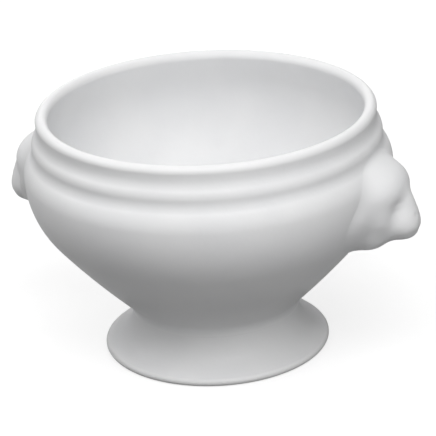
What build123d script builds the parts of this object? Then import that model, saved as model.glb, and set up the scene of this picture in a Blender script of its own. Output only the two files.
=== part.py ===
from build123d import *
import os
from math import acos, atan2, cos, hypot, radians, sin, sqrt

# Footed onion soup crock in glazed porcelain, with a lion head luted on each side.
# Millimetres, +Z up, heads on the X axis, origin at the centre of the foot's underside.
# Profiles are drawn as (radius, height) pairs and turned about the Z axis.

# Overall sizes
height = 91.4
body_radius = 66.0
waist_radius = 30.4
foot_radius = 41.0
pedestal_height = 14.4

# Clay thicknesses and the slip that lutes the pieces together
wall = 4.6
floor_thickness = 4.8
slip = 0.5
slip_shrink = 0.05

# Bowl flank: a tight waist, a nearly straight flank and a round shoulder
waist_bend = 5.5
flank_swell = 9.3
flank_turn = 7.0
floor_round = 22.0

# Collar: neck, bead, groove and rolled lip, measured down from the rim
lip_round = 2.2
lip_step = 0.15
lip_to_groove = 2.4
groove_depth = 2.05
groove_to_bead = 6.4
bead_round = 5.0
bead_step = 0.05
bead_to_neck = 1.2
neck_step = 3.45
neck_cove = 5.6
neck_to_widest = 10.0

# Pedestal: flared and hollow, standing on a flat ring
edge_round = 1.4
land_width = 8.0
bore_length = 4.0
bore_bend = 3.0
ring_width = 5.0
ring_depth = 1.6
ring_bend = 0.8

# Locating spigot under the bowl, loose in the pedestal's bore
spigot_depth = 2.0
spigot_clearance = 0.4
spigot_chamfer = 0.6

# Lion head: lumps of clay, each an ellipsoid that stands off the wall.
# Rise is counted from the head's middle, and proud from the wall at that height.
# Aside is the distance of a pair from the head's middle, and lean tips the mane along the wall.
head_drop = 11.0
mane_rise = 0.6
mane_proud = -5.6
mane_depth = 9.0
mane_half_width = 20.5
mane_half_height = 13.6
mane_lean = 18.0
crown_rise = 8.4
crown_proud = -2.9
crown_depth = 11.4
crown_half_width = 15.0
crown_half_height = 9.5
nose_rise = 2.0
nose_proud = 7.2
nose_depth = 4.8
nose_half_width = 4.5
nose_half_height = 5.8
muzzle_rise = -3.2
muzzle_proud = 5.9
muzzle_depth = 10.0
muzzle_half_width = 8.2
muzzle_half_height = 7.5
jaw_rise = -4.8
jaw_proud = 11.4
jaw_depth = 4.4
jaw_half_width = 5.0
jaw_half_height = 4.8
cheek_rise = 0.6
cheek_proud = 1.8
cheek_depth = 5.0
cheek_half_width = 5.0
cheek_half_height = 6.5
cheek_aside = 8.0
beard_rise = -7.2
beard_proud = 0.8
beard_depth = 6.8
beard_half_width = 5.5
beard_half_height = 6.0
beard_aside = 6.0


def offset_point(center, direction, distance):
    """Point at a distance from a centre along a unit direction."""
    return (center[0] + distance * direction[0], center[1] + distance * direction[1])


def heading(start, end):
    """Unit direction from one point to another."""
    length = hypot(end[0] - start[0], end[1] - start[1])
    return ((end[0] - start[0]) / length, (end[1] - start[1]) / length)


def arc(center, start, end):
    """Shorter arc about a centre, from one point to another."""
    radius = hypot(start[0] - center[0], start[1] - center[1])
    middle = ((start[0] + end[0]) / 2, (start[1] + end[1]) / 2)
    return ThreePointArc(start, offset_point(center, heading(center, middle), radius), end)


def hollow_arc(step, rise, rounding):
    """Radius of the hollow that runs into a round in an S, upright at both ends."""
    return (step**2 + rise**2) / (2 * step) - rounding


def turned(edges):
    """Solid of revolution about Z of a closed (radius, height) outline."""
    return revolve(Plane.XZ * make_face(edges), Axis.Z)


# Heights of the collar's features, from the rim down
seat_height = pedestal_height + slip
lip_height = height - lip_round
groove_height = lip_height - lip_to_groove
bead_height = groove_height - groove_to_bead
neck_height = bead_height - bead_to_neck
widest_height = neck_height - neck_to_widest

# Radii of the same features, from the widest point in
neck_radius = body_radius - neck_step
bead_radius = neck_radius + bead_step
groove_radius = bead_radius - groove_depth
lip_radius = groove_radius + lip_step

# Arc radii that make each hollow run smoothly into its neighbours
top_round = hollow_arc(neck_step, neck_to_widest, neck_cove)
bead_cove = hollow_arc(bead_step, bead_to_neck, bead_round)
groove_low = hollow_arc(groove_depth, groove_to_bead, bead_round)
groove_high = hollow_arc(lip_step, lip_to_groove, lip_round)

# Flank and shoulder radii, solved so that waist, flank and shoulder meet without a kink.
# Lean is the wall's angle from upright, where the waist ends and where the shoulder starts.
flank_span = body_radius - waist_radius
flank_rise = widest_height - seat_height
chord_lean = atan2(flank_span, flank_rise)
low_lean = chord_lean + radians(flank_swell + flank_turn / 2)
high_lean = chord_lean + radians(flank_swell - flank_turn / 2)
span_left = flank_span - waist_bend * (1 - cos(low_lean))
rise_left = flank_rise - waist_bend * sin(low_lean)
flank_across = cos(high_lean) - cos(low_lean)
flank_up = sin(low_lean) - sin(high_lean)
shoulder_across = 1 - cos(high_lean)
shoulder_up = sin(high_lean)
solve_by = flank_across * shoulder_up - shoulder_across * flank_up
flank_round = (span_left * shoulder_up - shoulder_across * rise_left) / solve_by
shoulder_round = (flank_across * rise_left - flank_up * span_left) / solve_by

# Arc centres of the outer wall
waist_center = (waist_radius + waist_bend, seat_height)
low_normal = (cos(low_lean), -sin(low_lean))
high_normal = (cos(high_lean), -sin(high_lean))
flank_center = offset_point(waist_center, low_normal, -waist_bend - flank_round)
shoulder_center = (body_radius - shoulder_round, widest_height)
top_center = (body_radius - top_round, widest_height)
neck_low_center = (neck_radius + neck_cove, neck_height)
neck_high_center = (neck_radius + bead_cove, neck_height)
bead_center = (bead_radius - bead_round, bead_height)
groove_low_center = (groove_radius + groove_low, groove_height)
groove_high_center = (groove_radius + groove_high, groove_height)
lip_center = (lip_radius - lip_round, lip_height)


def outer_wall(grow):
    """Arcs of the outer wall from the seat to the lip's crest, grown outwards along its normals."""
    seat = (waist_radius + grow, seat_height)
    flank_start = offset_point(waist_center, low_normal, grow - waist_bend)
    flank_end = offset_point(shoulder_center, high_normal, shoulder_round + grow)
    widest = (body_radius + grow, widest_height)
    shoulder_end = offset_point(top_center, heading(top_center, neck_low_center), top_round + grow)
    neck = (neck_radius + grow, neck_height)
    bead_start = offset_point(bead_center, heading(bead_center, neck_high_center), bead_round + grow)
    bead_end = offset_point(bead_center, heading(bead_center, groove_low_center), bead_round + grow)
    groove = (groove_radius + grow, groove_height)
    lip_start = offset_point(lip_center, heading(lip_center, groove_high_center), lip_round + grow)
    crest = (lip_center[0], lip_height + lip_round + grow)
    return [
        arc(waist_center, seat, flank_start),
        arc(flank_center, flank_start, flank_end),
        arc(shoulder_center, flank_end, widest),
        arc(top_center, widest, shoulder_end),
        arc(neck_low_center, shoulder_end, neck),
        arc(neck_high_center, neck, bead_start),
        arc(bead_center, bead_start, bead_end),
        arc(groove_low_center, bead_end, groove),
        arc(groove_high_center, groove, lip_start),
        arc(lip_center, lip_start, crest),
    ]


def wall_radius(level):
    """Radius of the outer wall between the waist and the neck, at a height."""
    flank_top = shoulder_center[1] + shoulder_round * high_normal[1]
    flank_foot = waist_center[1] - waist_bend * low_normal[1]
    if level < flank_foot:
        return waist_center[0] - sqrt(waist_bend**2 - (level - waist_center[1]) ** 2)
    if level < flank_top:
        return flank_center[0] + sqrt(flank_round**2 - (level - flank_center[1]) ** 2)
    if level < widest_height:
        return shoulder_center[0] + sqrt(shoulder_round**2 - (level - widest_height) ** 2)
    return top_center[0] + sqrt(top_round**2 - (level - widest_height) ** 2)


def wall_core(grow):
    """Solid filled up to the outer wall, grown outwards."""
    crest = (lip_center[0], height + grow)
    closing = Polyline(crest, (0, height + grow), (0, seat_height), (waist_radius + grow, seat_height))
    return turned(outer_wall(grow) + [closing])


def make_bowl():
    """Bowl with an even wall, a rolled lip, a flat seat for the foot and a locating spigot."""
    floor_height = seat_height + floor_thickness
    corner_height = floor_height + floor_round
    corner_reach = flank_round - wall - floor_round
    corner_radius = flank_center[0] + sqrt(corner_reach**2 - (corner_height - flank_center[1]) ** 2)
    corner_center = (corner_radius, corner_height)
    floor_edge = (corner_radius, floor_height)
    corner_end = offset_point(corner_center, heading(flank_center, corner_center), floor_round)
    inner_shoulder = offset_point(shoulder_center, high_normal, shoulder_round - wall)

    # The inside of the collar is a cone that touches the inner shoulder and the lip
    inner_round = shoulder_round - wall
    across = lip_center[0] - shoulder_center[0]
    up = lip_center[1] - shoulder_center[1]
    lean = atan2(up, across) - acos((inner_round + lip_round) / hypot(across, up))
    cone_normal = (cos(lean), sin(lean))
    cone_foot = offset_point(shoulder_center, cone_normal, inner_round)
    cone_top = offset_point(lip_center, cone_normal, -lip_round)
    crest = (lip_center[0], height)

    spigot_radius = waist_radius - land_width - spigot_clearance
    spigot_bottom = seat_height - spigot_depth
    underside = Polyline(
        (0, floor_height),
        (0, spigot_bottom),
        (spigot_radius - spigot_chamfer, spigot_bottom),
        (spigot_radius, spigot_bottom + spigot_chamfer),
        (spigot_radius, seat_height),
        (waist_radius, seat_height),
    )
    inside = [
        arc(lip_center, crest, cone_top),
        Line(cone_top, cone_foot),
        arc(shoulder_center, cone_foot, inner_shoulder),
        arc(flank_center, inner_shoulder, corner_end),
        arc(corner_center, corner_end, floor_edge),
        Line(floor_edge, (0, floor_height)),
    ]
    return turned([underside] + outer_wall(0) + inside)


def make_pedestal():
    """Hollow foot: a flared outside in an S, a flat ring to stand on and a bore at the top."""
    edge_center = (foot_radius - edge_round, edge_round)
    flare_round = hollow_arc(foot_radius - waist_radius, pedestal_height - edge_round, edge_round)
    flare_center = (waist_radius + flare_round, pedestal_height)
    flare_end = offset_point(edge_center, heading(edge_center, flare_center), edge_round)
    ring_inner = edge_center[0] - ring_width
    bore_radius = waist_radius - land_width
    outside = [
        arc(edge_center, (edge_center[0], 0), (foot_radius, edge_round)),
        arc(edge_center, (foot_radius, edge_round), flare_end),
        arc(flare_center, flare_end, (waist_radius, pedestal_height)),
    ]
    hollow = FilletPolyline(
        (bore_radius, pedestal_height),
        (bore_radius, pedestal_height - bore_length),
        (ring_inner, ring_depth),
        (ring_inner, 0),
        radius=[bore_bend, ring_bend],
    )
    land = Line((waist_radius, pedestal_height), (bore_radius, pedestal_height))
    ring = Line((ring_inner, 0), (edge_center[0], 0))
    return turned(outside + [land, hollow, ring])


def make_foot_slip():
    """Flat ring of slip between the pedestal's land and the bowl's seat."""
    return turned(
        [
            Polyline(
                (waist_radius - land_width, pedestal_height),
                (waist_radius, pedestal_height),
                (waist_radius, seat_height),
                (waist_radius - land_width, seat_height),
                close=True,
            )
        ]
    )


def lump(rise, proud, depth, half_width, half_height, aside=0, lean=0):
    """Ellipsoid of clay on the +X side, placed by its height on the wall."""
    level = widest_height - head_drop + rise
    place = Pos(wall_radius(level) + proud, aside, level) * Rot(0, lean, 0)
    return place * scale(Sphere(1), by=(depth, half_width, half_height))


def make_head_clay():
    """Lion head before it is cut to the wall: mane, crown, face and a parted beard in one."""
    mane = lump(mane_rise, mane_proud, mane_depth, mane_half_width, mane_half_height, lean=mane_lean)
    crown = lump(crown_rise, crown_proud, crown_depth, crown_half_width, crown_half_height)
    nose = lump(nose_rise, nose_proud, nose_depth, nose_half_width, nose_half_height)
    muzzle = lump(muzzle_rise, muzzle_proud, muzzle_depth, muzzle_half_width, muzzle_half_height)
    jaw = lump(jaw_rise, jaw_proud, jaw_depth, jaw_half_width, jaw_half_height)
    cheek = lump(cheek_rise, cheek_proud, cheek_depth, cheek_half_width, cheek_half_height, cheek_aside)
    beard = lump(beard_rise, beard_proud, beard_depth, beard_half_width, beard_half_height, beard_aside)
    pairs = [cheek, beard, mirror(cheek, Plane.XZ), mirror(beard, Plane.XZ)]
    return mane + [crown, nose, muzzle, jaw] + pairs


# The head is cut back to leave room for the slip, which shrinks a little from both curved faces
clay = make_head_clay()
head = clay - wall_core(slip)
slip_pad = (clay & wall_core(slip - slip_shrink)) - wall_core(slip_shrink)

# Each head is the same on both sides of its middle, so half a turn gives the mirror image
half_turn = Rot(0, 0, 180)

pieces = {
    "bowl": make_bowl(),
    "pedestal_foot": make_pedestal(),
    "slip_ring_foot": make_foot_slip(),
    "lion_head_right": head,
    "slip_pad_right": slip_pad,
    "lion_head_left": half_turn * head,
    "slip_pad_left": half_turn * slip_pad,
}

os.makedirs("parts", exist_ok=True)
for name, piece in pieces.items():
    export_step(piece, f"parts/{name}.step")
    box = piece.bounding_box()
    print(f"{name}: {len(piece.solids())} solid, {piece.volume:.0f} mm3, {box.size}")
print(f"flank {flank_round:.1f}, shoulder {shoulder_round:.1f}, top {top_round:.1f}")
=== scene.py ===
import bpy
import numpy as np
from mathutils import Matrix, Vector


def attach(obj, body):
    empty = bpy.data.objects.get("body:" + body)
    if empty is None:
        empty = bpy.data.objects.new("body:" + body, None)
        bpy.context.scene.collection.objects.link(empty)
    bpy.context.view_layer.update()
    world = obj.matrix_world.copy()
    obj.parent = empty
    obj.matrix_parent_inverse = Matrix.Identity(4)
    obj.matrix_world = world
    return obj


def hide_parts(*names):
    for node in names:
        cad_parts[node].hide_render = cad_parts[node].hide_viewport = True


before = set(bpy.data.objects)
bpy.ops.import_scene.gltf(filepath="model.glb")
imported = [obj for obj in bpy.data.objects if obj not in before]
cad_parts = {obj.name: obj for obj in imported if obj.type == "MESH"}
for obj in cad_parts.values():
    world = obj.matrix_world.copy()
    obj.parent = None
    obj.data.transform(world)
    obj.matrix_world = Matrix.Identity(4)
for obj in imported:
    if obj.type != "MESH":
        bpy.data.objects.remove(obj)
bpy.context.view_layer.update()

# White glazed soup crock: turned bowl and foot, and a moulded lion head on each side.
# Shapes are worked out in millimetres, heads on the X axis, and put into the meshes in metres.
METRES = 0.001
TURN_STEPS = 288
SHARP_CORNER = np.radians(38)
TINY = 1e-6

# Overall sizes of the clay
HEIGHT = 91.4
BODY_RADIUS = 66.0
WAIST_RADIUS = 30.4
FOOT_RADIUS = 41.0
PEDESTAL_HEIGHT = 14.4
WALL = 4.6
FLOOR_THICKNESS = 4.8

# Bowl flank and collar
WAIST_BEND = 5.5
FLANK_SWELL = np.radians(9.3)
FLANK_TURN = np.radians(7.0)
FLOOR_ROUND = 22.0
LIP_ROUND = 2.2
LIP_STEP = 0.15
LIP_TO_GROOVE = 2.4
GROOVE_DEPTH = 2.05
GROOVE_TO_BEAD = 6.4
BEAD_ROUND = 5.0
BEAD_STEP = 0.05
BEAD_TO_NECK = 1.2
NECK_STEP = 3.45
NECK_COVE = 5.6
NECK_TO_WIDEST = 10.0

# Pedestal, and the spigot under the bowl
EDGE_ROUND = 1.4
LAND_WIDTH = 8.0
BORE_LENGTH = 4.0
BORE_BEND = 3.0
RING_WIDTH = 5.0
RING_DEPTH = 1.6
RING_BEND = 0.8
SPIGOT_DEPTH = 2.0
SPIGOT_CLEARANCE = 0.4
SPIGOT_CHAMFER = 0.6

# Slip between bowl and pedestal
SLIP = 0.5
SLIP_SWELL = 0.03


def hollow_arc(step, rise, rounding):
    """Radius of the hollow that runs into a round in an S, upright at both ends."""
    return (step**2 + rise**2) / (2 * step) - rounding


def along(center, direction, distance):
    """Point at a distance from a centre along a unit direction."""
    return np.asarray(center) + distance * np.asarray(direction)


def heading(start, end):
    """Unit direction from one point to another."""
    step = np.asarray(end) - np.asarray(start)
    return step / np.hypot(*step)


def arc(center, start, end, steps):
    """Points at even angles on the shorter arc about a centre, without the last one."""
    first = np.asarray(start) - center
    last = np.asarray(end) - center
    angle = np.arctan2(first[1], first[0])
    turn = (np.arctan2(last[1], last[0]) - angle + np.pi) % (2 * np.pi) - np.pi
    angles = angle + turn * np.arange(steps) / steps
    return np.asarray(center) + np.hypot(*first) * np.column_stack([np.cos(angles), np.sin(angles)])


def line(start, end, steps):
    """Points at even steps on a straight line, without the last one."""
    share = (np.arange(steps) / steps)[:, None]
    return np.asarray(start) * (1 - share) + np.asarray(end) * share


def rounded_corner(before, corner, after, radius, steps):
    """Points on the round of a corner between two straight runs, with both its ends."""
    back = heading(corner, before)
    ahead = heading(corner, after)
    half = np.arccos(np.clip(back @ ahead, -1, 1)) / 2
    center = along(corner, heading((0, 0), back + ahead), radius / np.sin(half))
    setback = radius / np.tan(half)
    first = along(corner, back, setback)
    last = along(corner, ahead, setback)
    return np.concatenate([arc(center, first, last, steps), [last]])


# Heights and radii of the wall's features
SEAT = PEDESTAL_HEIGHT + SLIP
LIP_HEIGHT = HEIGHT - LIP_ROUND
GROOVE_HEIGHT = LIP_HEIGHT - LIP_TO_GROOVE
BEAD_HEIGHT = GROOVE_HEIGHT - GROOVE_TO_BEAD
NECK_HEIGHT = BEAD_HEIGHT - BEAD_TO_NECK
WIDEST = NECK_HEIGHT - NECK_TO_WIDEST
NECK_RADIUS = BODY_RADIUS - NECK_STEP
BEAD_RADIUS = NECK_RADIUS + BEAD_STEP
GROOVE_RADIUS = BEAD_RADIUS - GROOVE_DEPTH
LIP_RADIUS = GROOVE_RADIUS + LIP_STEP
TOP_ROUND = hollow_arc(NECK_STEP, NECK_TO_WIDEST, NECK_COVE)
BEAD_COVE = hollow_arc(BEAD_STEP, BEAD_TO_NECK, BEAD_ROUND)
GROOVE_LOW = hollow_arc(GROOVE_DEPTH, GROOVE_TO_BEAD, BEAD_ROUND)
GROOVE_HIGH = hollow_arc(LIP_STEP, LIP_TO_GROOVE, LIP_ROUND)

# Flank and shoulder radii, from the two equations that make waist, flank and shoulder meet smoothly
chord_lean = np.arctan2(BODY_RADIUS - WAIST_RADIUS, WIDEST - SEAT)
low_lean = chord_lean + FLANK_SWELL + FLANK_TURN / 2
high_lean = chord_lean + FLANK_SWELL - FLANK_TURN / 2
low_normal = np.array([np.cos(low_lean), -np.sin(low_lean)])
high_normal = np.array([np.cos(high_lean), -np.sin(high_lean)])
span_and_rise = [
    BODY_RADIUS - WAIST_RADIUS - WAIST_BEND * (1 - np.cos(low_lean)),
    WIDEST - SEAT - WAIST_BEND * np.sin(low_lean),
]
reach_of_radii = [
    [np.cos(high_lean) - np.cos(low_lean), 1 - np.cos(high_lean)],
    [np.sin(low_lean) - np.sin(high_lean), np.sin(high_lean)],
]
flank_round, shoulder_round = np.linalg.solve(reach_of_radii, span_and_rise)

# Arc centres of the wall
waist_center = np.array([WAIST_RADIUS + WAIST_BEND, SEAT])
flank_center = along(waist_center, low_normal, -WAIST_BEND - flank_round)
shoulder_center = np.array([BODY_RADIUS - shoulder_round, WIDEST])
top_center = np.array([BODY_RADIUS - TOP_ROUND, WIDEST])
neck_low_center = np.array([NECK_RADIUS + NECK_COVE, NECK_HEIGHT])
neck_high_center = np.array([NECK_RADIUS + BEAD_COVE, NECK_HEIGHT])
bead_center = np.array([BEAD_RADIUS - BEAD_ROUND, BEAD_HEIGHT])
groove_low_center = np.array([GROOVE_RADIUS + GROOVE_LOW, GROOVE_HEIGHT])
groove_high_center = np.array([GROOVE_RADIUS + GROOVE_HIGH, GROOVE_HEIGHT])
lip_center = np.array([LIP_RADIUS - LIP_ROUND, LIP_HEIGHT])
crest = (lip_center[0], HEIGHT)


def outer_wall():
    """Outer wall from the lip's crest down to the seat, as (radius, height) points on its arcs."""
    lip_end = along(lip_center, heading(lip_center, groove_high_center), LIP_ROUND)
    groove = (GROOVE_RADIUS, GROOVE_HEIGHT)
    bead_top = along(bead_center, heading(bead_center, groove_low_center), BEAD_ROUND)
    bead_low = along(bead_center, heading(bead_center, neck_high_center), BEAD_ROUND)
    neck = (NECK_RADIUS, NECK_HEIGHT)
    shoulder_top = along(top_center, heading(top_center, neck_low_center), TOP_ROUND)
    widest = (BODY_RADIUS, WIDEST)
    flank_top = along(shoulder_center, high_normal, shoulder_round)
    flank_low = along(waist_center, low_normal, -WAIST_BEND)
    return np.concatenate([
        arc(lip_center, crest, lip_end, 10),
        arc(groove_high_center, lip_end, groove, 5),
        arc(groove_low_center, groove, bead_top, 8),
        arc(bead_center, bead_top, bead_low, 9),
        arc(neck_high_center, bead_low, neck, 6),
        arc(neck_low_center, neck, shoulder_top, 10),
        arc(top_center, shoulder_top, widest, 16),
        arc(shoulder_center, widest, flank_top, 20),
        arc(flank_center, flank_top, flank_low, 24),
        arc(waist_center, flank_low, (WAIST_RADIUS, SEAT), 12),
    ])


def bowl_profile():
    """Bowl's section from the middle of its floor up the inside, over the lip and down to the spigot."""
    floor = SEAT + FLOOR_THICKNESS
    corner_height = floor + FLOOR_ROUND
    reach = flank_round - WALL - FLOOR_ROUND
    corner_radius = flank_center[0] + np.sqrt(reach**2 - (corner_height - flank_center[1]) ** 2)
    corner = np.array([corner_radius, corner_height])
    corner_end = along(corner, heading(flank_center, corner), FLOOR_ROUND)
    inner_round = shoulder_round - WALL
    inner_shoulder = along(shoulder_center, high_normal, inner_round)
    across, up = lip_center - shoulder_center
    lean = np.arctan2(up, across) - np.arccos((inner_round + LIP_ROUND) / np.hypot(across, up))
    cone_normal = np.array([np.cos(lean), np.sin(lean)])
    cone_foot = along(shoulder_center, cone_normal, inner_round)
    cone_top = along(lip_center, cone_normal, -LIP_ROUND)
    spigot = WAIST_RADIUS - LAND_WIDTH - SPIGOT_CLEARANCE
    bottom = SEAT - SPIGOT_DEPTH
    return np.concatenate([
        line((0, floor), (corner_radius, floor), 10),
        arc(corner, (corner_radius, floor), corner_end, 22),
        arc(flank_center, corner_end, inner_shoulder, 14),
        arc(shoulder_center, inner_shoulder, cone_foot, 24),
        line(cone_foot, cone_top, 10),
        arc(lip_center, cone_top, crest, 12),
        outer_wall(),
        line((WAIST_RADIUS, SEAT), (spigot, SEAT), 4),
        line((spigot, SEAT), (spigot, bottom + SPIGOT_CHAMFER), 2),
        line((spigot, bottom + SPIGOT_CHAMFER), (spigot - SPIGOT_CHAMFER, bottom), 2),
        line((spigot - SPIGOT_CHAMFER, bottom), (0, bottom), 8),
        [(0, bottom)],
    ])


def pedestal_profile():
    """Foot's closed section: down the flared outside, across the flat ring and up the hollow to the bore."""
    edge_center = np.array([FOOT_RADIUS - EDGE_ROUND, EDGE_ROUND])
    flare = hollow_arc(FOOT_RADIUS - WAIST_RADIUS, PEDESTAL_HEIGHT - EDGE_ROUND, EDGE_ROUND)
    flare_center = np.array([WAIST_RADIUS + flare, PEDESTAL_HEIGHT])
    flare_end = along(edge_center, heading(edge_center, flare_center), EDGE_ROUND)
    edge = (FOOT_RADIUS, EDGE_ROUND)
    under_edge = (edge_center[0], 0)
    ring_inner = edge_center[0] - RING_WIDTH
    bore = WAIST_RADIUS - LAND_WIDTH
    top = (bore, PEDESTAL_HEIGHT)
    bore_low = (bore, PEDESTAL_HEIGHT - BORE_LENGTH)
    ring_high = (ring_inner, RING_DEPTH)
    ring_low = (ring_inner, 0)
    return np.concatenate([
        arc(flare_center, (WAIST_RADIUS, PEDESTAL_HEIGHT), flare_end, 26),
        arc(edge_center, flare_end, edge, 10),
        arc(edge_center, edge, under_edge, 10),
        line(under_edge, ring_low, 4),
        [ring_low],
        rounded_corner(ring_low, ring_high, bore_low, RING_BEND, 5),
        rounded_corner(ring_high, bore_low, top, BORE_BEND, 7),
        line(top, (WAIST_RADIUS, PEDESTAL_HEIGHT), 4),
    ])


def slip_profile():
    """Slip ring's closed section: a flat band whose outer edge swells past the waist as 1 - s^2."""
    inner = WAIST_RADIUS - LAND_WIDTH
    half = SLIP / 2
    share = np.linspace(1, -1, 9)
    swelling = WAIST_RADIUS + SLIP_SWELL * (1 - share**2)
    outer_edge = np.column_stack([swelling, PEDESTAL_HEIGHT + half + half * share])
    inner_edge = line((inner, PEDESTAL_HEIGHT), (inner, SEAT), 2)
    return np.concatenate([outer_edge, inner_edge, [(inner, SEAT)]])


def hollowness(points, closed):
    """Bend to the hollow side at each point of a section, per millimetre, evened out along it.

    The bend is twice the cross product of the steps before and after a point, over the product of the sides
    of the triangle that they make.
    """
    before = np.roll(points, 1, 0)
    after = np.roll(points, -1, 0)
    ahead = after - points
    behind = points - before
    turn = behind[:, 0] * ahead[:, 1] - behind[:, 1] * ahead[:, 0]
    sides = np.hypot(*behind.T) * np.hypot(*ahead.T) * np.hypot(*(after - before).T)
    bend = 2 * turn / (sides + TINY)
    if not closed:
        bend[[0, -1]] = 0
    for _ in range(3):
        bend = (np.roll(bend, 1) + 2 * bend + np.roll(bend, -1)) / 4
    return bend


def new_piece(name, points, faces, hollow):
    """Mesh object from points in millimetres: smooth, with true corners sharp and its hollows marked."""
    mesh = bpy.data.meshes.new(name)
    mesh.from_pydata((points * METRES).tolist(), [], faces)
    mark = mesh.attributes.new("hollow", "FLOAT", "POINT")
    mark.data.foreach_set("value", hollow.astype(np.float32))
    mesh.shade_smooth()
    mesh.set_sharp_from_angle(angle=SHARP_CORNER)
    mesh.validate()
    piece = bpy.data.objects.new(name, mesh)
    bpy.context.scene.collection.objects.link(piece)
    return piece


def turned(name, section, closed):
    """Section carried round the Z axis: x = r cos a, y = r sin a, z = height.

    A closed section makes a ring. An open one starts and ends on the axis, where a fan closes each pole.
    """
    off_axis = slice(None) if closed else slice(1, -1)
    rows = section[off_axis]
    hollow = np.repeat(hollowness(section, closed)[off_axis], TURN_STEPS)
    count = len(rows)
    angle = np.arange(TURN_STEPS) * 2 * np.pi / TURN_STEPS
    radius, level = rows[:, :1], rows[:, 1:]
    around = np.stack([radius * np.cos(angle), radius * np.sin(angle), level + 0 * angle], axis=2)
    points = around.reshape(-1, 3)
    index = np.arange(count * TURN_STEPS).reshape(count, TURN_STEPS)
    beside = np.roll(index, -1, 1)
    below = np.roll(index, -1, 0)
    quads = np.stack([index, below, np.roll(below, -1, 1), beside], axis=2)
    if closed:
        return new_piece(name, points, quads.reshape(-1, 4).tolist(), hollow)
    poles = np.array([[0, 0, section[0, 1]], [0, 0, section[-1, 1]]])
    first = np.full(TURN_STEPS, len(points))
    fan_top = np.column_stack([first, index[0], beside[0]])
    fan_low = np.column_stack([first + 1, beside[-1], index[-1]])
    faces = quads[:-1].reshape(-1, 4).tolist() + fan_top.tolist() + fan_low.tolist()
    return new_piece(name, np.concatenate([points, poles]), faces, np.append(hollow, [0, 0]))


# Lion head: its middle, the point inside the wall that its rays start from, and how deep it is bedded
HEAD_LEVEL = WIDEST - 11.0
HEAD_CORE = np.array([50.0, 0.0, HEAD_LEVEL + 1.6])
HEAD_STEPS = 200
HEAD_SPREAD = 76
HEAD_SPREAD_BELOW = 12
SUNK = 0.15
BEDDED = 1.2
WALL_FILLET = 4.5

# Search along each ray: a march inwards, then halving
MARCH_START = 34.0
MARCH_STEP = 0.4
MARCH_COUNT = 84
HALVINGS = 22

# Lumps of the head: height from its middle, how far the centre stands out from the wall, and half sizes
MANE = dict(rise=0.6, proud=-5.6, depth=9.0, half_width=20.5, half_height=13.6)
MANE_LEAN = 18.0
CHEEK = dict(rise=0.6, proud=1.5, depth=5.0, half_width=5.0, half_height=6.5, aside=8.0)
CROWN = dict(rise=8.4, proud=-2.9, depth=11.4, half_width=15.0, half_height=9.5)
BEARD = dict(rise=-7.2, proud=0.8, depth=6.8, half_width=5.5, half_height=6.0, aside=6.0)
MUZZLE = dict(rise=-3.2, proud=5.6, depth=10.0, half_width=8.2, half_height=7.5)
NOSE = dict(rise=2.0, proud=7.2, depth=4.8, half_width=4.5, half_height=5.8)
JAW = dict(rise=-4.8, proud=11.4, depth=4.4, half_width=5.0, half_height=4.8)
TIP_CENTER = (74.3, 0.0, HEAD_LEVEL + 0.2)
TIP_RADII = (2.6, 3.2, 2.2)
TIP_FILLET = 1.6

# Order in which the lumps join the mane, each with the width of its fillet
JOINING = [(CHEEK, 4.0), (CROWN, 4.0), (BEARD, 4.0), (MUZZLE, 3.5), (NOSE, 3.6), (JAW, 2.0)]

# Carving on the head: depths, and places from its middle
EYE_HOLLOW = dict(depth=0.28, aside=6.4, height=4.2, width=2.1, stretch=1.5)
EYE = dict(depth=0.28, aside=6.5, height=4.0, width=1.15, stretch=1.35)
NOSTRIL = dict(depth=0.22, aside=1.6, height=-0.2, width=0.8)
FACE_START = 70.0
FACE_FADE = 4.0
LOCK_DEPTH = 0.14
LOCK_WAVES = 9
LOCK_START = 6
LOCK_FADE = 6
MOUTH_DEPTH = 0.22
MOUTH_BELOW = 6.2
MOUTH_CURVE = 0.03
MOUTH_WIDTH = 0.9
MOUTH_REACH = 5.0
PARTING_DEPTH = 0.3
PARTING_WIDTH = 0.9
PARTING_BELOW = 3.4
PARTING_LENGTH = 2.4
STRAND_DEPTH = 0.12
STRAND_SPACING = 5.0
STRAND_BELOW = 8.5
STRAND_FADE = 3.0

# Hollowness of the head, made as strong as the turned pieces' and evened out
HEAD_HOLLOW_GAIN = 16
HEAD_HOLLOW_PASSES = 8

wall_points = outer_wall()[::-1]
wall_slope = np.gradient(wall_points[:, 0], wall_points[:, 1])


def wall_distance(x, y, z):
    """Distance outside the outer wall: radius less the wall's, times the cosine of the wall's lean."""
    reach = np.interp(z, wall_points[:, 1], wall_points[:, 0])
    slope = np.interp(z, wall_points[:, 1], wall_slope)
    return (np.hypot(x, y) - reach) / np.sqrt(1 + slope**2)


def on_wall(rise, proud, depth, half_width, half_height, aside=0.0):
    """Centre and radii of a lump, placed by its height on the wall as the clay one is."""
    level = HEAD_LEVEL + rise
    reach = np.interp(level, wall_points[:, 1], wall_points[:, 0])
    return (reach + proud, aside, level), (depth, half_width, half_height)


def lump(x, y, z, center, radii, lean=0.0):
    """Distance from an ellipsoid, taken as k (k - 1) / g with k the scaled length and g its slope.

    Lean tips its upper end outwards, in degrees.
    """
    out, rise = x - center[0], z - center[2]
    across, upright = np.cos(np.radians(lean)), np.sin(np.radians(lean))
    offsets = [out * across - rise * upright, y - center[1], out * upright + rise * across]
    scaled = np.sqrt(sum((o / r) ** 2 for o, r in zip(offsets, radii)))
    slope = np.sqrt(sum((o / r**2) ** 2 for o, r in zip(offsets, radii)))
    return scaled * (scaled - 1) / np.maximum(slope, TINY)


def merge(first, second, soft):
    """Smaller of two distances, with a fillet of about the given softness where they meet."""
    share = np.clip(0.5 + 0.5 * (second - first) / soft, 0, 1)
    return second + (first - second) * share - soft * share * (1 - share)


def ridge(offset, width):
    """Bell-shaped share of 1 at offset 0 that fades over a width."""
    return np.exp(-((offset / width) ** 2))


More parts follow.
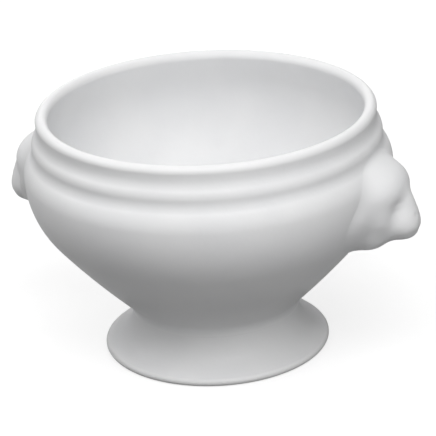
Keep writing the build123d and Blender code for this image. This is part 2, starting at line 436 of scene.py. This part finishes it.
def ramp(value, start, fade):
    """Share that grows evenly from 0 at a start to 1 where the fade ends."""
    return np.clip((value - start) / fade, 0, 1)


def dimple(side, rise, depth, aside, height, width, stretch=1.0):
    """Bell-shaped dip on each side of the face, at a distance aside and a height, stretched sideways."""
    return depth * ridge(np.hypot((side - aside) / stretch, rise - height), width)


def lion_distance(x, y, z):
    """Distance from the lion head on the +X side, sunk into the wall at its border.

    Mane, cheeks, crown, beard, muzzle, nose, jaw and the tip of the nose are ellipsoids merged with wide
    fillets, as a thick glaze leaves them. Eyes, mouth, parting and nostrils are bell-shaped marks, and the
    locks of the mane and strands of the beard are shallow cosine waves.
    """
    side = np.abs(y)
    rise = z - HEAD_LEVEL
    turn = np.arctan2(side, rise)
    locks = LOCK_DEPTH * (1 - np.cos(LOCK_WAVES * turn)) * ramp(side, LOCK_START, LOCK_FADE)
    body = lump(x, side, z, *on_wall(**MANE), lean=MANE_LEAN) + locks
    for place, fillet in JOINING:
        body = merge(body, lump(x, side, z, *on_wall(**place)), fillet)
    body = merge(body, lump(x, side, z, TIP_CENTER, TIP_RADII), TIP_FILLET)

    front = ramp(x, FACE_START, FACE_FADE)
    mouth_line = ridge(rise + MOUTH_BELOW + MOUTH_CURVE * side**2, MOUTH_WIDTH)
    mouth = MOUTH_DEPTH * mouth_line * front * ridge(side, MOUTH_REACH)
    parting = PARTING_DEPTH * ridge(y, PARTING_WIDTH) * ridge(rise + PARTING_BELOW, PARTING_LENGTH) * front
    nostrils = dimple(side, rise, **NOSTRIL) * front
    waves = 1 - np.cos(2 * np.pi * y / STRAND_SPACING)
    strands = STRAND_DEPTH * waves * ramp(-rise, STRAND_BELOW, STRAND_FADE)
    body = body + dimple(side, rise, **EYE_HOLLOW) - dimple(side, rise, **EYE)
    body = body + mouth + parting + nostrils + strands
    return merge(body, wall_distance(x, y, z) + SUNK, WALL_FILLET)


def disc_directions():
    """Unit directions on a square grid bent into a cap about +X, wider below where the wall leans in.

    The grid's corners are pulled in by x sqrt(1 - y^2 / 2), which makes it a disc; the distance from the
    disc's middle is then the angle from +X.
    """
    share = np.linspace(-1, 1, HEAD_STEPS)
    across, up = np.meshgrid(share, share, indexing="ij")
    disc_across = across * np.sqrt(1 - up**2 / 2)
    disc_up = up * np.sqrt(1 - across**2 / 2)
    spread = np.hypot(disc_across, disc_up)
    bearing = np.arctan2(disc_up, disc_across)
    angle = spread * np.radians(HEAD_SPREAD - HEAD_SPREAD_BELOW * np.sin(bearing))
    swing = np.sin(angle)
    return np.stack([np.cos(angle), swing * np.cos(bearing), swing * np.sin(bearing)], axis=2)


def outermost(distance, directions):
    """Points where rays from the head's core last leave a shape: a coarse march inwards, then halving."""
    def at(length):
        return HEAD_CORE + length[..., None] * directions

    def inside(length):
        x, y, z = np.moveaxis(at(length), 2, 0)
        return distance(x, y, z) < 0

    far = np.full(directions.shape[:2], MARCH_START)
    found = np.zeros(far.shape, bool)
    for _ in range(MARCH_COUNT):
        found |= inside(far - MARCH_STEP)
        far = np.where(found, far, far - MARCH_STEP)
    near = far - MARCH_STEP
    for _ in range(HALVINGS):
        middle = (near + far) / 2
        within = inside(middle)
        near = np.where(within, middle, near)
        far = np.where(within, far, middle)
    return at((near + far) / 2)


def neighbour_sum(values):
    """Sum of the four neighbours of each point of a grid."""
    beside = np.roll(values, 1, 0) + np.roll(values, -1, 0)
    return beside + np.roll(values, 1, 1) + np.roll(values, -1, 1)


def grid_hollowness(points):
    """How far each point of a grid lies under the middle of its neighbours, scaled and evened out."""
    across = np.roll(points, -1, 0) - np.roll(points, 1, 0)
    up = np.roll(points, -1, 1) - np.roll(points, 1, 1)
    normal = np.cross(across, up)
    area = np.maximum(np.linalg.norm(normal, axis=2), TINY)
    under = np.sum((neighbour_sum(points) / 4 - points) * normal, axis=2)
    bend = under / area**1.5 * HEAD_HOLLOW_GAIN
    bend[[0, -1], :] = 0
    bend[:, [0, -1]] = 0
    bend = np.clip(bend, -1, 1)
    for _ in range(HEAD_HOLLOW_PASSES):
        bend = (neighbour_sum(bend) + bend) / 5
    return bend


def rim_of(grid):
    """Indices round the border of a grid, in order."""
    return np.concatenate([grid[:-1, 0], grid[-1, :-1], grid[:0:-1, -1], grid[0, :0:-1]])


def lion_head(name, hand):
    """Lion head as a closed shell: carved face, sheet bedded in the wall behind it, and a rim between.

    Hand is 1 for the +X side and -1 for its mirror image.
    """
    directions = disc_directions()
    face = outermost(lion_distance, directions)
    back = outermost(lambda x, y, z: wall_distance(x, y, z) + BEDDED, directions)
    count = HEAD_STEPS**2
    grid = np.arange(count).reshape(HEAD_STEPS, HEAD_STEPS)
    quad_corners = [grid[:-1, :-1], grid[1:, :-1], grid[1:, 1:], grid[:-1, 1:]]
    front_quads = np.stack(quad_corners, axis=2).reshape(-1, 4)
    back_quads = front_quads[:, ::-1] + count
    rim = rim_of(grid)
    after = np.roll(rim, -1)
    rim_quads = np.column_stack([after, rim, rim + count, after + count])
    faces = np.concatenate([front_quads, back_quads, rim_quads])
    points = np.concatenate([face.reshape(-1, 3), back.reshape(-1, 3)])
    points[:, 0] *= hand
    if hand < 0:
        faces = faces[:, ::-1]
    hollow = np.concatenate([grid_hollowness(face).reshape(-1), np.zeros(count)])
    return new_piece(name, points, faces.tolist(), hollow)


class Wire:
    """A value in a node tree: arithmetic on it adds Math nodes, and node() adds any other node."""

    def __init__(self, tree, socket=None):
        self.tree = tree
        self.socket = socket

    def node(self, kind, settings, sockets, out=0):
        """Add a node, set its settings, then its sockets' values or links, and give one output."""
        made = self.tree.nodes.new(kind)
        for name, value in settings.items():
            setattr(made, name, value)
        for name, value in sockets.items():
            if isinstance(value, Wire):
                self.tree.links.new(value.socket, made.inputs[name])
            else:
                made.inputs[name].default_value = value
        return Wire(self.tree, made.outputs[out]) if len(made.outputs) else made

    def math(self, operation, *values):
        """Math node on numbers and wires."""
        return self.node("ShaderNodeMath", {"operation": operation}, dict(enumerate(values)))

    def __add__(self, other):
        return self.math("ADD", self, other)

    def __radd__(self, other):
        return self.math("ADD", other, self)

    def __sub__(self, other):
        return self.math("SUBTRACT", self, other)

    def __rsub__(self, other):
        return self.math("SUBTRACT", other, self)

    def __mul__(self, other):
        return self.math("MULTIPLY", self, other)

    def __rmul__(self, other):
        return self.math("MULTIPLY", other, self)

    def clear_of(self, low, high):
        """Share that rises smoothly from 0 at one value to 1 at another."""
        sockets = {"Value": self, "From Min": low, "From Max": high}
        return self.node("ShaderNodeMapRange", {"interpolation_type": "SMOOTHSTEP"}, sockets)

    def tint(self, first, second):
        """Colour that goes from a first to a second one by this share: a Mix node's sockets 0, 6 and 7."""
        return self.node("ShaderNodeMix", {"data_type": "RGBA"}, {0: self, 6: first, 7: second}, out=2)

    def cloud(self, place, scale, detail):
        """Noise value at a place in metres, with a number of waves per metre."""
        sockets = {"Vector": place, "Scale": scale, "Detail": detail}
        return self.node("ShaderNodeTexNoise", {}, sockets)


# Colours of the glaze and the clay
MILK_GREY = (0.795, 0.798, 0.806, 1)
MILK_WHITE = (0.822, 0.824, 0.828, 1)
POOLED_GREY = (0.74, 0.75, 0.765, 1)
THIN_WHITE = (0.87, 0.868, 0.862, 1)
SPECK_BROWN = (0.42, 0.36, 0.30, 1)
BARE_CLAY = (0.80, 0.785, 0.75, 1)
SLIP_GREY = (0.785, 0.787, 0.792, 1)
SLIP_WHITE = (0.815, 0.816, 0.818, 1)

# Gloss of the glaze, and the height in metres below which the foot is bare
COAT = 0.18
COAT_ROUGHNESS = 0.18
BARE_BELOW = 0.00035


def grey(value):
    """Plain grey of a given level."""
    return (value, value, value, 1)


def new_finish(name):
    """Empty material, and its node tree as a Wire."""
    finish = bpy.data.materials.new(name)
    finish.use_nodes = True
    finish.node_tree.nodes.clear()
    return finish, Wire(finish.node_tree)


def glaze_finish(name):
    """White glaze: clouded, greyer where it pools in hollows, thin over edges, with rare specks.

    The foot ring that the crock stands on is bare clay.
    """
    finish, start = new_finish(name)
    place = start.node("ShaderNodeTexCoord", {}, {}, out="Object")
    level = start.node("ShaderNodeSeparateXYZ", {}, {"Vector": place}, out="Z")
    hollow = start.node("ShaderNodeAttribute", {"attribute_name": "hollow"}, {}, out="Fac")
    clouds = start.cloud(place, scale=45.0, detail=3.0)
    ripple = start.cloud(place, scale=160.0, detail=2.0)
    peel = start.cloud(place, scale=900.0, detail=2.0)
    grain = start.cloud(place, scale=5200.0, detail=2.0)

    pooled = hollow.clear_of(0.02, 0.5)
    thinned = (hollow * -1.0).clear_of(0.15, 0.7)
    bare = level.math("LESS_THAN", level, BARE_BELOW)
    cells = {"Vector": place, "Scale": 210.0}
    cell_distance = start.node("ShaderNodeTexVoronoi", {}, cells, out="Distance")
    cell_color = start.node("ShaderNodeTexVoronoi", {}, cells, out="Color")
    cell_draw = start.node("ShaderNodeSeparateColor", {}, {"Color": cell_color}, out="Red")
    speck = (1 - cell_distance.clear_of(0.02, 0.07)) * cell_draw.clear_of(0.975, 0.985)

    color = clouds.clear_of(0.3, 0.7).tint(MILK_GREY, MILK_WHITE)
    color = (pooled * 0.55).tint(color, POOLED_GREY)
    color = (thinned * 0.35).tint(color, THIN_WHITE)
    color = (speck * 0.45).tint(color, SPECK_BROWN)
    color = bare.tint(color, BARE_CLAY)
    rough = 0.27 + 0.10 * ripple + 0.06 * thinned + bare * 0.35
    relief = ripple * 0.7 + peel * 0.22 + grain * bare * 0.4
    bump = start.node("ShaderNodeBump", {}, {"Strength": 0.22, "Distance": 0.0004, "Height": relief})
    sockets = {
        "Base Color": color,
        "Roughness": rough,
        "Specular IOR Level": 0.0,
        "Coat Weight": COAT - COAT * bare,
        "Coat Roughness": COAT_ROUGHNESS,
        "Normal": bump,
    }
    shader = start.node("ShaderNodeBsdfPrincipled", {}, sockets)
    start.node("ShaderNodeOutputMaterial", {}, {"Surface": shader})
    return finish


def slip_finish(name):
    """Fired slip at the seams: off-white with a fine grain and a soft sheen."""
    finish, start = new_finish(name)
    place = start.node("ShaderNodeTexCoord", {}, {}, out="Object")
    clouds = start.cloud(place, scale=120.0, detail=3.0)
    grain = start.cloud(place, scale=3000.0, detail=2.0)
    sockets = {
        "Base Color": clouds.clear_of(0.3, 0.7).tint(SLIP_GREY, SLIP_WHITE),
        "Roughness": 0.38 + 0.12 * grain,
        "Specular IOR Level": 0.05,
        "Normal": start.node("ShaderNodeBump", {}, {"Strength": 0.25, "Distance": 0.0002, "Height": grain}),
    }
    shader = start.node("ShaderNodeBsdfPrincipled", {}, sockets)
    start.node("ShaderNodeOutputMaterial", {}, {"Surface": shader})
    return finish


def dress(piece, finish):
    """Give a piece its one finish."""
    piece.data.materials.clear()
    piece.data.materials.append(finish)


white_glaze = glaze_finish("white_glaze")
fired_slip = slip_finish("fired_slip")

pieces = {
    "bowl": (turned("glazed_bowl", bowl_profile(), False), "glaze", white_glaze),
    "pedestal_foot": (turned("glazed_foot", pedestal_profile(), True), "glaze", white_glaze),
    "slip_ring_foot": (turned("slip_seam", slip_profile(), True), "slip", fired_slip),
    "lion_head_right": (lion_head("glazed_lion_right", 1), "glaze", white_glaze),
    "lion_head_left": (lion_head("glazed_lion_left", -1), "glaze", white_glaze),
}
for node, (piece, slot, finish) in pieces.items():
    dress(piece, finish)
    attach(piece, "root")
    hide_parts(node)
for node in ("slip_pad_left", "slip_pad_right"):
    dress(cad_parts[node], fired_slip)

# Floor: white to the eye, with the crock's soft shadow, and dim as a source of bounced light
FLOOR_HALF = 4.0
FLOOR_DROP = 0.0001
FLOOR_DARK = 0.34
FLOOR_LIGHT = 0.36
FLOOR_GLOW = 0.74
GLOW_NEAR = 0.3
GLOW_FAR = 1.2
BOUNCE = 0.2


def seen_directly(start):
    """1 where a ray comes from the camera, a mirror-like reflection or through glass, otherwise 0."""
    camera_ray = start.node("ShaderNodeLightPath", {}, {}, out="Is Camera Ray")
    glossy_ray = start.node("ShaderNodeLightPath", {}, {}, out="Is Glossy Ray")
    through_ray = start.node("ShaderNodeLightPath", {}, {}, out="Is Transmission Ray")
    return start.math("MAXIMUM", start.math("MAXIMUM", camera_ray, glossy_ray), through_ray)


def floor_finish():
    """Matt pale floor: for direct rays a glow under a pale coat, so that only shadows darken it.

    The glow grows with the distance from the crock, where the lamps no longer reach.
    """
    finish, start = new_finish("pale_floor")
    place = start.node("ShaderNodeTexCoord", {}, {}, out="Object")
    mottle = start.cloud(place, scale=30.0, detail=3.0).clear_of(0.2, 0.8)
    pale = mottle.tint(grey(FLOOR_DARK), grey(FLOOR_LIGHT))
    reach = start.node("ShaderNodeVectorMath", {"operation": "LENGTH"}, {0: place}, out="Value")
    whitening = reach.clear_of(GLOW_NEAR, GLOW_FAR).tint(grey(FLOOR_GLOW), grey(1))
    glow = start.node("ShaderNodeEmission", {}, {"Color": whitening, "Strength": 1.0})
    lit = start.node("ShaderNodeBsdfDiffuse", {}, {"Color": pale})
    shown = start.node("ShaderNodeAddShader", {}, {0: glow, 1: lit})
    bounced = start.node("ShaderNodeBsdfDiffuse", {}, {"Color": grey(BOUNCE)})
    mixed = start.node("ShaderNodeMixShader", {}, {0: seen_directly(start), 1: bounced, 2: shown})
    start.node("ShaderNodeOutputMaterial", {}, {"Surface": mixed})
    return finish


floor_mesh = bpy.data.meshes.new("floor")
corners = FLOOR_HALF * np.array([(-1, -1, 0), (1, -1, 0), (1, 1, 0), (-1, 1, 0)])
floor_mesh.from_pydata(corners.tolist(), [], [(0, 1, 2, 3)])
floor = bpy.data.objects.new("floor", floor_mesh)
floor.location.z = -FLOOR_DROP
bpy.context.scene.collection.objects.link(floor)
dress(floor, floor_finish())

# World: white behind the floor, and a faint sky as light
SKY = 0.02
world = bpy.data.worlds.new("studio")
bpy.context.scene.world = world
world.use_nodes = True
world.node_tree.nodes.clear()
sky = Wire(world.node_tree)
strength = seen_directly(sky) * (1 - SKY) + SKY
backdrop = sky.node("ShaderNodeBackground", {}, {"Color": grey(1), "Strength": strength})
sky.node("ShaderNodeOutputWorld", {}, {"Surface": backdrop})

# Lamps: azimuth and elevation in degrees, distance and size in metres, power in watts
LAMP_AIM = Vector((0, 0, 0.05))
LAMPS = {
    "key": (45, 58, 1.2, 0.6, 5.15),
    "key_left": (0, 62, 1.2, 0.6, 3.2),
    "front": (20, 40, 0.55, 0.4, 0.36),
    "front_left": (-30, 8, 0.5, 0.4, 0.33),
    "front_right": (54, 23, 0.5, 0.4, 0.74),
    "left": (-80, 40, 0.6, 0.4, 1.1),
    "behind": (195, 60, 0.6, 0.4, 0.55),
    "back_fill": (202, 22, 0.6, 0.4, 0.9),
}


def outwards(azimuth, elevation):
    """Unit vector away from the crock: azimuth 0 is in front, and elevation is up from the floor."""
    level = np.cos(elevation)
    return Vector((np.sin(azimuth) * level, -np.cos(azimuth) * level, np.sin(elevation)))


def soft_lamp(name, azimuth, elevation, distance, size, power):
    """Square area lamp that faces the crock, placed by its azimuth, elevation and distance."""
    away = outwards(np.radians(azimuth), np.radians(elevation))
    lamp = bpy.data.lights.new(name, "AREA")
    lamp.shape = "SQUARE"
    lamp.size = size
    lamp.energy = power
    holder = bpy.data.objects.new(name, lamp)
    holder.location = LAMP_AIM + distance * away
    holder.rotation_euler = away.to_track_quat("Z", "Y").to_euler()
    bpy.context.scene.collection.objects.link(holder)


for lamp_name, placing in LAMPS.items():
    soft_lamp(lamp_name, *placing)

# Camera at the photograph's place, with the picture's small turn
AIM = Vector((0.00067, 0.00459, 0.0459))
AZIMUTH = np.radians(22.53)
ELEVATION = np.radians(22.90)
ROLL = 0.05308
DISTANCE = 0.900
LENS = 204.63
SENSOR = 36.0
FARTHEST = 20.0

right = Vector((np.cos(AZIMUTH), np.sin(AZIMUTH), 0))
back = outwards(AZIMUTH, ELEVATION)
up = back.cross(right)
camera_x = np.cos(ROLL) * right - np.sin(ROLL) * up
camera_y = np.sin(ROLL) * right + np.cos(ROLL) * up
camera_data = bpy.data.cameras.new("photograph")
camera_data.lens = LENS
camera_data.sensor_width = SENSOR
camera_data.clip_end = FARTHEST
camera = bpy.data.objects.new("photograph", camera_data)
camera_turn = Matrix((camera_x, camera_y, back)).transposed().to_4x4()
camera.matrix_world = Matrix.Translation(AIM + DISTANCE * back) @ camera_turn
bpy.context.scene.collection.objects.link(camera)
bpy.context.scene.camera = camera
bpy.context.scene.view_settings.view_transform = "Standard"
